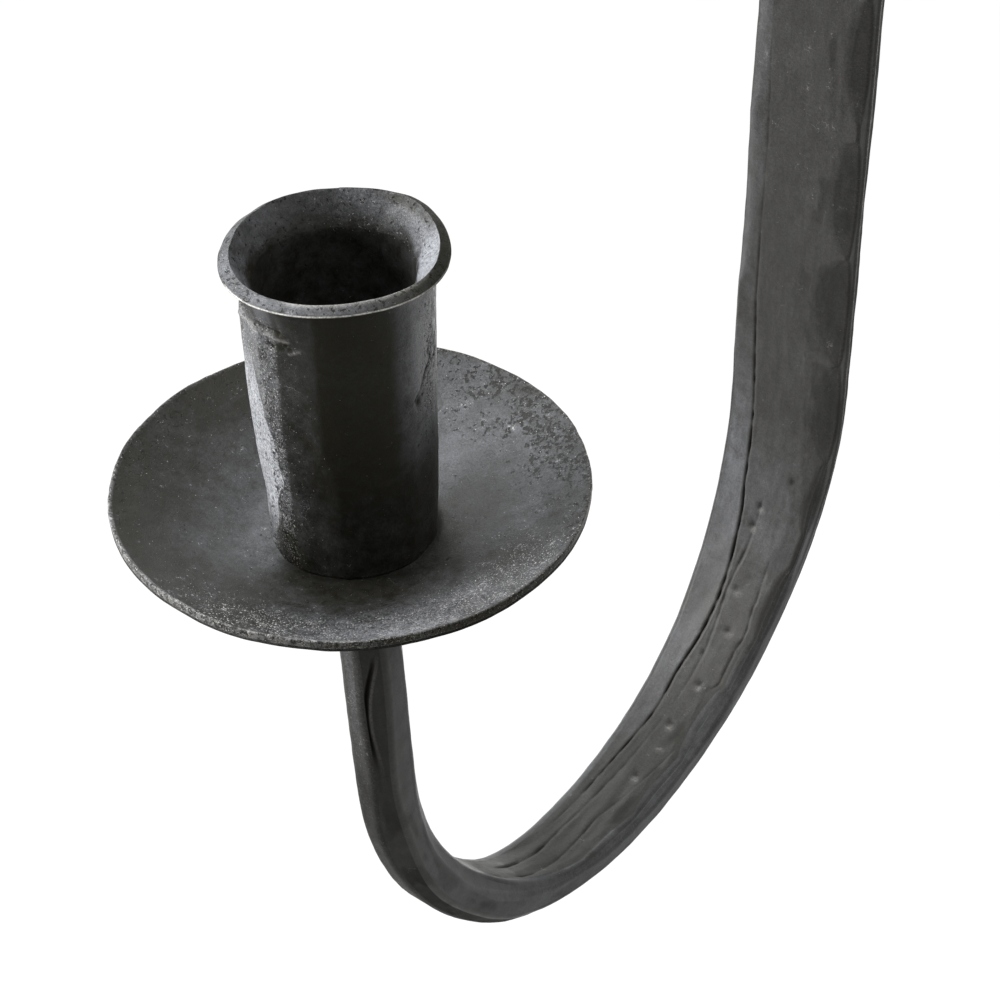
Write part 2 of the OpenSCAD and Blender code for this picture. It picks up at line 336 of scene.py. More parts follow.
def crackMarks(lo, hi, wanted):
    # where the three cracks run: where they are wanted, but kept apart and on the face
    wide = hi - lo
    gap = np.minimum(1.2, 0.2 * wide)
    widest = 0.5 + 0.5 * rise(wide, 0, 10)
    first = np.clip(wanted[0], lo + np.minimum(0.5, 0.1 * wide), lo + 0.5 * wide)
    second = np.clip(wanted[1], first + gap, hi - 0.3 * wide)
    third = np.clip(wanted[2], second + gap, hi - 0.02 * wide - 0.15 - 0.93 * widest)
    return [first, second, third], widest


def armSection(s, corner, b, wanted, c):
    # Every edge of the section has its own columns, and each corner is a short parabola between two edges.
    # The inner face's columns gather at the three cracks
    edgeLen = [np.linalg.norm(corner[:, (j + 1) % 8] - corner[:, j], axis=-1) for j in range(8)]
    rounding = list(c.cornerRound)
    rounding[2] = rounding[2] * (1 + 2.2 * span(s, 100, 20, 245, 30))    # the hook's edges are rounder
    rounding = [np.minimum(rounding[j], 0.3 * np.minimum(edgeLen[j - 1], edgeLen[j])) for j in range(8)]
    lo, hi = corner[:, 0, 0] + rounding[0], corner[:, 1, 0] - rounding[1]
    marks, widest = crackMarks(lo, hi, wanted)
    tight = np.array(c.crackColumns)
    margin = 0.02 * (hi - lo)
    pieces, previous = [], lo + margin
    for m, count in zip(marks, c.plainColumns):
        squeeze = np.clip((m - previous) / 1.1, 0.08, widest)
        first = m + tight[0] * squeeze
        pieces.append(previous[:, None] + (first - previous)[:, None] * np.linspace(0, 1, count + 1)[:-1])
        pieces.append(m[:, None] + tight * squeeze[:, None])
        previous = m + (tight[-1] + 0.03) * squeeze
    last = np.linspace(0, 1, c.plainColumns[3] + 1)
    pieces.append(previous[:, None] + (hi - margin - previous)[:, None] * last)
    innerX = np.sort(np.concatenate(pieces, 1), 1)
    ring, tag = [], []
    for j in range(8):
        v, before, after = corner[:, j], corner[:, j - 1], corner[:, (j + 1) % 8]
        r, rNext = rounding[j][:, None], rounding[(j + 1) % 8][:, None]
        p0 = v + r * (before - v) / np.maximum(edgeLen[j - 1], 1e-6)[:, None]
        p2 = v + r * (after - v) / np.maximum(edgeLen[j], 1e-6)[:, None]
        for t in (0, 0.35, 0.65, 1):
            ring.append(((1 - t) ** 2 * p0 + 2 * t * (1 - t) * v + t * t * p2)[:, None])
            tag.append(8 + j)
        if j == 0:
            edge = np.stack([innerX, np.repeat(b[:, None], innerX.shape[1], 1)], -1)
        else:
            q = after + rNext * (v - after) / np.maximum(edgeLen[j], 1e-6)[:, None]
            f = np.linspace(0, 1, c.edgeColumns[j] + 2)[1:-1, None]
            edge = p2[:, None] + (q - p2)[:, None] * f
        ring.append(edge)
        tag += [j] * edge.shape[1]
    return np.concatenate(ring, 1), np.array(tag), marks, hi


def makeArm(c):
    s, length = armStations(c)
    heading, reach, height, _, _ = armPath(s, c)
    corner, b, ovals = armCorners(s, length, c)
    wanted = [curve(s, crack.along, crack.across) for crack in cracks.values()]
    flatRing, tag, marks, hi = armSection(s, corner, b, wanted, c)
    rows, cols = flatRing.shape[:2]
    across, deep = flatRing[..., 0], flatRing[..., 1]
    along = np.repeat(s[:, None], cols, 1)
    # outward direction of the section at every column
    tangent = np.roll(flatRing, -1, 1) - np.roll(flatRing, 1, 1)
    outward = np.stack([-tangent[..., 1], tangent[..., 0]], -1)
    outward /= np.maximum(np.linalg.norm(outward, axis=-1, keepdims=True), 1e-9)

    def on(*tags):
        # 1 in the columns of these edges, 0 to 7, and corners, 8 to 15
        return np.isin(tag, tags)[None, :] * 1

    face, rightSide, neckEdge, wallSide = on(0), on(2), on(3), on(4, 5, 12, 13)
    # heights: streaks drawn along the bar, dents, the slope left of the long crack, pits and the cracks
    place = np.stack([along, across, deep], -1)
    lift = 0.08 * layered(place, (17, 4.5, 4.5), 11) + 0.05 * layered(place, (3.2, 2, 2), 21)
    lift *= 1 - 0.9 * wallSide * rise(along, 290, 20)    # the back lies flat on the wall
    beside = np.clip(marks[0][:, None] - across, 0, 9) * span(along, 125, 50, 265, 25)
    lift -= c.leftSlope * beside * (1 - 0.5 * rise(beside, 3, 5)) * on(0, 8)
    dirtAndShade, wearAndGlint = np.zeros((rows, cols)), np.zeros((rows, cols))
    uneven = 0.6 + 0.4 * wander(along, 1.7, 31)
    for crack, at, place0 in zip(cracks.values(), marks, wanted):
        # no crack where the face has no room for it
        depth = curve(s, crack.depthAt, crack.depth) * drop(np.abs(at - place0), 0.84, 0.6)
        at, depth = at[:, None], depth[:, None]
        g = groove(across, at, crack.half) * face
        lip = groove(across, at + 0.55, 0.5) * face * np.clip(depth, 0, 0.5)    # metal pushed up beside it
        lift += 0.08 * lip - g * depth * uneven
        dirtAndShade = most(dirtAndShade, g * unit(depth * uneven * 3.2))
        wearAndGlint = most(wearAndGlint, 0.15 * lip)
    # each deeper pit is darker in its bowl, and the deepest have a painted glint just below it
    for at, x, depth, radius in pits:
        bowl = np.exp(-1.9 * (((along - at) / radius) ** 2 + ((across - x) / (0.8 * radius)) ** 2)) * face
        shine = ((along - at + 1.1 * radius) / radius) ** 2 + ((across - x - 0.5) / radius) ** 2
        lift -= depth * bowl
        dirtAndShade = most(dirtAndShade, 0.8 * bowl * (depth > 0.12))
        wearAndGlint = most(wearAndGlint, 0.8 * np.exp(-3 * shine) * face * (depth > 0.2))
    # the bottom of the hook is wrinkled on its inside, where the bar was bent hot
    fold = span(along, 103, 9, 180, 30) * face
    waves = np.sin(across * 1.9 + along * 0.09 + 0.8 * np.sin(along * 0.12))
    waves = waves * (0.6 + 0.4 * noise(place, (14, 3, 3), 41))
    lift += 0.13 * fold * waves + 0.07 * fold * layered(place, (5, 2.4, 2.4), 43)
    # cold shut on the neck, on the edge between the room side and the right side
    cross = across + deep
    shutAt = np.median(cross[:, tag == 3], axis=1)[:, None] + curve(along, neckShut.alongAt, neckShut.across)
    shutDepth = curve(along, neckShut.alongAt, neckShut.depth)
    shut = groove(cross, shutAt, neckShut.half) * neckEdge
    lift -= shut * shutDepth
    # ridge along the right side, where two passes of the hammer met
    ridge = rightSide * groove(deep + 0.15 * b[:, None], 0, 0.5) * rise(along, 200, 40)
    lift += 0.22 * ridge
    # scale has flaked off in patches along the right edge of the inner face
    toEdge = unit(1 - (hi[:, None] - across) / 5.5) * rise(along, 135, 30) * (1 - 0.6 * rise(along, 265, 30))
    flaked = rise(0.75 * layered(place, (7, 2.6, 2.6), 201) + 1.5 * toEdge, 0.8, 0.3) * on(0, 9)
    lift -= 0.05 * flaked
    upper = rise(along, 190, 40)
    # wear on the right side's room-side corner, and painted highlights on the ridge and beside the cold shut
    wearAndGlint = most(
        wearAndGlint, 0.28 * ridge,
        groove(cross, shutAt + 1.1, 0.5) * neckEdge * unit(shutDepth * 0.9),
        on(10) * (0.08 + 0.12 * noise(place, (7, 2, 2), 51)) * upper)
    stained = rise(layered(place, (9, 2.6, 2.6), 211), 0.05, 0.35) * on(2, 3, 4, 10, 11, 12)
    # painted shade on the hammer ovals, the right side, the neck's edge, the hook's face and the upper bar's
    # wall side, with real flaked scale and stains in it
    shadeAndStains = sum([
        0.22 * on(1, 10) * ovals[:, None] * upper,
        0.1 * rightSide * upper * (deep < 0.6),
        0.26 * flaked,
        neckEdge * (0.34 + 0.4 * rise(along, 76, 14)) * drop(along, 150, 25),
        0.22 * stained * span(along, 45, 20, 155, 30),
        0.29 * on(0, 8, 9) * span(along, 118, 22, 192, 26),
        0.5 * on(3, 4, 11, 12) * upper,
        0.25 * rightSide * bell(along, 111, 16),
        0.42 * on(0, 9) * bell(along, 110, 6)])
    # dirt in the cracks, pits and cold shut, darker wrinkle troughs, and painted shade: the sum above and the
    # wall-side faces of the neck and hook
    dirtAndShade = most(
        dirtAndShade, shadeAndStains,
        0.3 * fold * unit(-waves - 0.45),
        shut * unit(shutDepth * 1.6),
        wallSide * (0.14 + 0.34 * rise(along, 42, 14)) * span(along, 26, 8, 150, 25))
    # painted light on the left chamfer, the right chamfer and right side, the face left of the long crack and
    # across the hook, the wall side low on the neck, and the room edge of the neck's right side
    leftPart = unit((marks[0][:, None] - across) / 0.8) * face
    leftLight = 0.26 + 0.42 * drop(along, 262, 30) * (1 - 0.5 * drop(along, 225, 25))
    roomEdge = rightSide * rise(deep / b[:, None], -0.45, 1.15)
    paintedLight = most(
        on(7, 8) * rise(along, 100, 40) * (0.34 + 0.16 * noise(place, (9, 3, 3), 221)),
        0.45 * on(1, 9) * drop(along, 215, 30),
        on(2, 10) * drop(along, 245, 30) * (0.16 + 0.6 * rise(along, 60, 60)),
        leftPart * leftLight * rise(along, 150, 40),
        0.3 * face * span(along, 180, 35, 250, 30),
        0.34 * on(4, 5) * drop(along, 50, 16),
        0.72 * roomEdge * span(along, 16, 10, 88, 30))
    spark = 0.3 + 0.7 * wallSide * drop(along, 110, 30) + 0.25 * rise(along, 280, 40)
    pit = 0.35 + 0.3 * fold + 0.3 * flaked + 0.3 * drop(along, 115, 20) * on(4, 5, 12)
    lift *= span(along, 0, 3, length, 4)
    section = flatRing + outward * lift[..., None]
    tilt = np.radians(heading * unit(s / 8))[:, None]
    drift = c.drift * span(s, 0, 28, 130, 70) + curve(s, c.swayAt, c.sway)
    pts = np.stack([
        section[..., 0] + drift[:, None],
        axisY * mm + reach[:, None] + section[..., 1] * np.cos(tilt),
        shoulderZ * mm + height[:, None] + section[..., 1] * np.sin(tilt)], -1) / mm
    uv = np.stack([along / 100, (across + 0.4 * deep) / 100], -1)
    piece = gridMesh("forgedArm", pts, uv, closedRows=False, capped=True, attributes=dict(
        wearAndGlint=unit(wearAndGlint), dirtAndShade=unit(dirtAndShade), paintedLight=unit(paintedLight), spark=spark, pit=pit))
    for z in c.holeHeights:
        drill(piece, z / mm, c.holeR / mm)
    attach(piece, "root")
    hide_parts("arm")
    print("arm:", rows, "rings of", cols)
    return piece


# The cup and the pan are profiles turned about the candle's axis, and lean together to the picture's left
sheetLean = 1.04


def resample(points, step):
    # points evenly spaced along a line of corners
    points = np.asarray(points, float)
    d = np.concatenate([[0], np.cumsum(np.linalg.norm(np.diff(points, axis=0), axis=1))])
    t = np.linspace(0, d[-1], max(2, int(round(d[-1] / step)) + 1))
    return np.stack([np.interp(t, d, points[:, i]) for i in range(points.shape[1])], -1)


def turned(parts, columns):
    # every vertex's radius, height, part number and distance down the profile, in tenths of a metre
    profile = np.concatenate(parts)
    kinds = np.concatenate([np.full(len(p), i) for i, p in enumerate(parts)])
    length = np.cumsum(np.linalg.norm(np.diff(profile, axis=0, prepend=profile[:1]), axis=1))
    return np.repeat(np.stack([profile[:, 0], profile[:, 1], kinds, length / 100])[..., None], columns, 2)


def standing(x, y, h):
    # millimetres from the axis and the rim become metres, turned about the shoulder by the lean
    t, azimuth = radians(sheetLean), radians(camera.azimuth)
    dx, dy = -cos(azimuth), -sin(azimuth)
    x, y, z = x / mm, y / mm, rimZ + h / mm - shoulderZ
    along = x * dx + y * dy
    moved = along * cos(t) + z * sin(t) - along
    z = z * cos(t) - along * sin(t)
    return np.stack([x + moved * dx, axisY + y + moved * dy, z + shoulderZ], -1)


# Candle cup: heights are above the pan's rim, and directions are degrees to the right of the camera
cup = Settings(
    outerAt=[-8, -5, 0, 10, 20, 30, 39], outer=[13.05, 13.2, 13.4, 14, 14.33, 14.6, 14.75],
    sideShiftAt=[-8, -5, 0, 10, 20, 30, 44], sideShift=[0.15, 0.27, 0.45, 0.15, -0.08, -0.1, 0],
    flareFrom=41, lipR=17.15, lipLow=43.85, lipHigh=44.3, mouthR=15.6, mouthZ=45.2,
    throatR=12.7, throatZ=39.6,
    # the lip rises towards the camera and to its right, and is pushed a little off the axis
    lipRise=(0.023, 0.018), lipShift=(0.21, -0.25),
    # waves round the lip, of its radius and its height: how many, and the parts by cosine and sine
    lipRadiusWaves=[(2, 0.16, 0.01), (3, -0.13, -0.16)], lipHeightWaves=[(2, 0.15, 0.04), (3, 0.27, 0.05)],
    # the burr under the lip: beyond its radius, and above its lowest height
    burr=[(0.04, 0.05), (0.05, 0.13), (-0.02, 0.2), (-0.13, 0.31)],
    slopeSteps=(0.03, 0.08, 0.2, 0.4, 0.6, 0.8, 0.94, 0.98),
    socketR=11.4, socketTop=24, ledgeZ=-2, recessR=10.6, footZ=-8,
    columns=400, step=0.42,
    mmPerDegree=0.253,    # along the wall, round the tube
    # folds under the lip on the left: direction and height of both ends, half width, depth (minus: a ridge)
    folds=[(-84, 36.6, -56, 39.4, 0.5, 0.25), (-82, 35, -53, 37.7, 0.24, -0.22),
           (-61, 36.2, -52, 36.6, 0.22, -0.16), (-50, 38.2, -33, 38.6, 0.4, 0.42),
           (-44, 39.3, -32, 39.4, 0.18, -0.16), (-48, 37.2, -27, 37.5, 0.24, -0.14),
           (-41, 35.6, -31, 35.9, 0.42, 0.3), (-29, 36.7, -25, 36, 0.22, 0.25),
           (-27, 35.3, -20, 36.2, 0.22, -0.09)],
    # right edge of the painted light on the tube's left facet: heights and directions
    facetAt=[-8, -3, 0, 4, 9, 15, 20, 25, 32, 40],
    facetEdge=[-74, -60, -54, -50, -41, -42, -50, -59, -66, -72],
    # flats: middle of each, how far it is cut in, and how many degrees its middle has turned at the foot
    flats=[(-67, 0.5, 0), (-43.5, 0.13, 0), (-24, 0.34, 7), (14, 0.12, 0), (62, 0.2, 0), (95, 0.3, 0),
           (128, 0.4, 4), (163, 0.35, 0), (198, 0.4, -4), (234, 0.35, 0), (263, 0.25, 0)],
    flatBlend=0.05,
)


def cupProfile(c):
    # six parts, numbered 0 to 5: the tube's side, the flare, the lip, the funnel, the bore and the foot
    tubeR, lipR, lipLow, mouthR, mouthZ = c.outer[-1], c.lipR, c.lipLow, c.mouthR, c.mouthZ
    side = resample(np.stack([c.outer, c.outerAt], -1), c.step)
    t = np.linspace(0, pi / 2, 10)
    flare = [tubeR + (lipR - tubeR) * (1 - np.cos(t)), c.flareFrom + (lipLow - c.flareFrom) * np.sin(t)]
    flare = resample(np.stack(flare, -1), c.step * 0.6)
    low, high = np.array([lipR - 0.26, c.lipHigh]), np.array([mouthR + 0.05, mouthZ])
    slope = low + (high - low) * np.array(c.slopeSteps)[:, None]
    burr = np.array(c.burr) + (lipR, lipLow)
    lip = np.concatenate([burr, [(lipR - 0.22, c.lipHigh - 0.04)], slope, [(mouthR + 0.01, mouthZ - 0.02)]])
    # the funnel is nearly a straight cone, rounded where it runs into the bore
    ends = np.array([(mouthR - 0.03, mouthZ - 0.08), (c.throatR + 0.75, c.throatZ + 1.9),
                     (c.throatR, c.throatZ)])
    f = np.linspace(0, 1, 26)[:, None]
    funnel = (1 - f) ** 2 * ends[0] + 2 * f * (1 - f) * ends[1] + f ** 2 * ends[2]
    bore = resample([ends[2], (c.socketR, c.socketTop), (c.socketR, c.ledgeZ)], c.step * 2.2)
    foot = resample([(c.socketR, c.ledgeZ), (c.recessR, c.ledgeZ), (c.recessR, c.footZ),
                     (c.outer[0], c.footZ)], 0.8)
    return [side, flare[1:], lip, funnel, bore[1:], foot[1:-1]]


def makeCup(c):
    r, h, kind, length = turned(cupProfile(c), c.columns)
    rows, cols = r.shape
    side, outside, lip, cone, bore = kind == 0, kind <= 1, kind == 2, kind == 3, kind == 4
    # columns gather on the side that the photo shows
    t = np.arange(cols) / cols * 2 * pi
    turn = -(t - 0.3 * np.sin(t)) * np.ones((rows, 1))
    angle = toCamera + turn
    deg = np.degrees(np.angle(np.exp(1j * turn)))
    aside = np.abs(deg)
    place = np.stack([r * np.cos(angle), r * np.sin(angle), h], -1)
    # flats: the wall is the least of the round tube and of each flat's plane, blended softly
    total = 1
    for i, (middle, depth, low) in enumerate(c.flats):
        sway = low * drop(h, 20, 10) + 3.5 * wander(h, 17, 61 + i, i * 3.7)
        d = np.angle(np.exp(1j * (turn - np.radians(middle + sway))))
        inset = depth + 0.08 * wander(h, 14, 81 + i, i * 5.1)
        plane = np.where(np.abs(d) < 1.2, (r - inset) / np.cos(np.clip(d, -1.2, 1.2)), r + 5)
        total += np.exp(-(plane - r) / c.flatBlend)
    r2 = r - c.flatBlend * np.log(total) * span(h, -9, 2, 42, 5) * outside
    # the tube wanders sideways as it goes up, and its surface is uneven
    r2 += curve(h, c.sideShiftAt, c.sideShift) * outside * np.sin(turn)
    r2 += (0.07 * layered(place, (5, 5, 9), 91) + 0.03 * layered(place, (1.4, 1.4, 2), 95)) * outside

    def waves(key):
        return sum(u * np.cos(n * turn) + v * np.sin(n * turn) for n, u, v in c[key])

    # the lip isn't quite round, and its edge dips and thickens
    lipZone = rise(h, 38.5, 4.5) * (kind <= 3)
    fineWave = noise(np.stack([np.cos(angle) * 3, np.sin(angle) * 3, angle * 0], -1), 0.5, 103)
    bulge = bell(deg, 140, 26)
    onEdge = unit((r - c.mouthR) / (c.lipR - c.mouthR)) * lip + outside
    r2 += lipZone * (waves("lipRadiusWaves") + 0.06 * fineWave + 0.6 * bulge)
    leanUp = c.lipRise[0] * r * np.cos(turn) + c.lipRise[1] * r * np.sin(turn)
    edgeUp = 0.35 * bulge + 0.55 * onEdge * bell(deg, -45, 42)
    h2 = h + lipZone * (waves("lipHeightWaves") + 0.08 * fineWave + edgeUp + leanUp)
    # the mouth's edge is drawn in at the front left, and the wall bulges in on the right, down to the bore
    r2 -= 0.65 * bell(deg, -42, 32) * (1 - onEdge) * (lip | cone) * rise(r, 13.2, 1.5)
    r2 -= 1.1 * bell(deg, 88, 30) * (cone * drop(r, 15.4, 2.2) + bore * rise(h, 30, 9))
    r2 += cone * (0.11 * layered(place, 2.4, 107) + 0.05 * layered(place, 0.9, 109))
    dirtAndShade, wearAndGlint = np.zeros(r.shape), np.zeros(r.shape)
    # each fold dents the tube, with painted shade in its hollow and a painted highlight on its ridge
    for deg0, h0, deg1, h1, half, depth in c.folds:
        across, up = (deg1 - deg0) * c.mmPerDegree, h1 - h0
        u, v = (deg - deg0) * c.mmPerDegree, h - h0 + 0.22 * noise(place, (1.2, 1.2, 3), 117)
        f = unit((u * across + v * up) / (across ** 2 + up ** 2))
        g = np.exp(-((u - f * across) ** 2 + (v - f * up) ** 2) / half ** 2) * side
        r2 -= depth * g
        dirtAndShade = most(dirtAndShade, 1.8 * max(depth, 0) * g)
        wearAndGlint = most(wearAndGlint, 2.6 * max(-depth, 0) * g * (0.8 + 0.5 * noise(place, 0.7, 119)))
    # the dark cold shut on the right, with a scar beside it
    seamAt = 54 + 15 * rise(h, 22, 8) + 4 * wander(h, 1.3, 111)
    seam = bell(deg, seamAt, 1.7) * span(h, 22.2, 0.8, 33, 3.5) * side
    beside = bell(deg, seamAt + 7, 1.2) * span(h, 22.5, 1, 34, 4) * side
    blob = bell(deg, 54.5, 3) * bell(h, 22.6, 1.1) * side
    seam = most(most(seam, 0.7 * beside) * (0.7 + 0.6 * noise(place, 0.8, 113)), blob)
    scar = bell(deg, 71, 6) * span(h, 24, 4, 41, 3) * side
    r2 += 0.16 * scar * layered(place, (1.2, 1.2, 2.4), 115) - 0.3 * seam
    # a painted highlight over light wear on the lip's lower edge in front and on its mouth
    lowEdge = lip * (r > c.lipR - 0.08) * rise(h, c.lipLow + 0.02, 0.06)
    inFront = span(deg, -72, 14, 92, 30)
    mouthEdge = bell(r, c.mouthR + 0.1, 0.3) * (h > 43) * (lip | cone)
    wearAndGlint = most(
        wearAndGlint,
        lowEdge * inFront * unit(0.95 + 0.6 * noise(place, 1.5, 121)),
        0.4 * mouthEdge * span(deg, -32, 15, 72, 15))
    # the dark cold shut, and painted shade: a little in the bore, on the lip's lower edge away from the
    # front, on the tube's front and by its foot on the front left, under the lip on the left, on the lip's
    # right and on the funnel's back right
    dirtAndShade = most(
        dirtAndShade, unit(1.1 * seam), 0.1 * bore,
        0.4 * lowEdge * (1 - inFront),
        0.28 * outside * span(deg, -12, 3, 42, 10) * (0.1 + 0.9 * rise(h, 0, 16)),
        0.62 * outside * drop(h, 2.5, 8) * span(deg, -70, 12, -14, 12),
        0.68 * outside * rise(h, 36.2, 2) * drop(deg, -46, 8),
        0.7 * lip * facing(deg, 112, 0.2, 0.5),
        0.5 * cone * rise(r, 14.5, 0.7) * bell(deg, 131, 27))
    # painted light: on the funnel's back right, left and right, fading to painted shade at the bore; on the
    # lip's front left; on the tube's left and right sides; and a little in the bore and foot
    fade = 0.9 + 1.3 * rise(aside, 115, 40)
    throat = cone * drop(r, c.throatR + fade + 0.5 * noise(place, 2, 125), fade)
    backRight = cone * facing(deg, 134, 0.15, 0.6)
    left = cone * (0.2 + 0.4 * facing(deg, -88, -0.2, 0.9) - 0.24 * rise(aside, 130, 30) * (deg < 0))
    right = 1.15 * cone * bell(deg, 80, 24) * rise(r, 12.8, 0.8)
    funnel = np.clip(0.7 * backRight + left + right, 0, 1.4) * (1 - 0.9 * throat)
    facet = curve(h, c.facetAt, c.facetEdge) + 1.5 * noise(place, (2, 2, 3), 129)
    bandLeft = drop(deg, facet, 2.5) * (0.85 + drop(h, 33, 12) * (0.2 + 0.8 * rise(h, -6, 10)))
    greyEnd = -35 - 8 * drop(h, 8, 10) + 2 * noise(place, (3, 3, 4), 133)
    greyLeft = 0.62 * drop(deg, greyEnd, 4) + 0.08 * drop(deg, -20, 8) + 0.06 * drop(deg, -10, 3)
    greyLeft = greyLeft * (0.5 + 0.5 * rise(h, -2, 8)) + 0.06 * drop(aside, 50, 20) * drop(h, 16, 16)
    leftSide = most(bandLeft, greyLeft) * (0.25 + 0.75 * rise(deg, -122, 26))
    rightSide = 1.25 * rise(deg, 30, 24) * (1 - 0.4 * rise(deg, 76, 8)) * (deg < 150) * rise(h, 8, 16)
    lipLight = lip * (0.14 + 0.6 * facing(deg, -46, -0.1, 0.9))
    paintedLight = funnel + lipLight + outside * most(leftSide, rightSide) + 0.18 * (kind >= 4)
    leftGrain, frontGrain = drop(deg, -34, 5), drop(deg, -14, 12)
    spark = 0.12 + 0.4 * backRight + 0.2 * lip + side * (
        0.55 * leftGrain + 0.35 * frontGrain + 0.7 * rise(deg, 58, 8) * (deg < 110) * rise(h, 12, 10))
    pit = 0.2 + 0.7 * lip + 0.4 * cone + side * (
        0.65 * leftGrain * (1 - 0.55 * drop(deg, -48, 6)) + 0.2 * frontGrain
        + 0.5 * rise(deg, 50, 10) * (deg < 120) + 0.3 * drop(h, 6, 6) * (deg < -20))
    near, off = lipZone * c.lipShift[0], lipZone * c.lipShift[1]
    pts = standing(r2 * np.cos(angle) + near * cos(toCamera) - off * sin(toCamera),
                   r2 * np.sin(angle) + near * sin(toCamera) + off * cos(toCamera), h2)
    piece = gridMesh("candleCup", pts, np.stack([length, turn / 6.3], -1), dict(
        wearAndGlint=unit(wearAndGlint), dirtAndShade=unit(dirtAndShade), paintedLight=paintedLight, spark=unit(spark), pit=unit(pit)))
    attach(piece, "root")
    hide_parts("candle_cup")
    print("cup:", rows, "rows of", cols)
    return piece


# Drip pan: a shallow dish, a little uneven, with a hammered edge
pan = Settings(
    rimR=37.5, seatR=13.65, seatZ=-8, thick=1.5, edgeThick=1.6, holeR=2.65, columns=440, step=0.55,
    # the rim stands a little above the true circle, and rises towards the camera and to its right
    rimUp=0.75, rimIn=0.08, rimRise=(0.013, 0.006),
    # points of the rounded edge, from its upper and from its lower corner
    edgeTop=[(-0.28, -0.1), (-0.06, -0.06), (0, -0.32)],
    edgeLow=[(0.02, 0.3), (-0.1, 0.04), (-0.4, -0.14)],
)


def panProfile(c):
    # three parts, numbered 0 to 2: the underside, the edge and the top. The dish is one arc from seat to rim
    chord = atan2(-c.seatZ, c.rimR - c.seatR)
    radius = hypot(c.seatZ, c.rimR - c.seatR) / (2 * sin(chord / 2))
    t = np.linspace(chord / 2, chord * 1.5, 60)
    dishR = c.seatR + radius * (np.sin(t) - sin(chord / 2))
    dishZ = c.seatZ + radius * (cos(chord / 2) - np.cos(t))
    thin = c.thick + (c.edgeThick - c.thick) * rise(dishR, c.rimR - 6, 6)    # thicker at the edge
    dish = np.stack([dishR, dishZ], -1)
    under = np.stack([np.minimum(dishR + thin * np.sin(t), c.rimR), dishZ - thin * np.cos(t)], -1)
    edge = np.concatenate([dish[-1] + c.edgeTop, under[-1] + c.edgeLow])
    top = resample(np.concatenate([[(c.holeR, c.seatZ)], dish[:-2]]), c.step)
    rim = resample(edge, c.step * 0.35)
    low = resample(np.concatenate([under[-3::-1], [(c.holeR, c.seatZ - c.thick)]]), c.step * 1.5)
    return [low[::-1], rim[::-1], top[::-1]]


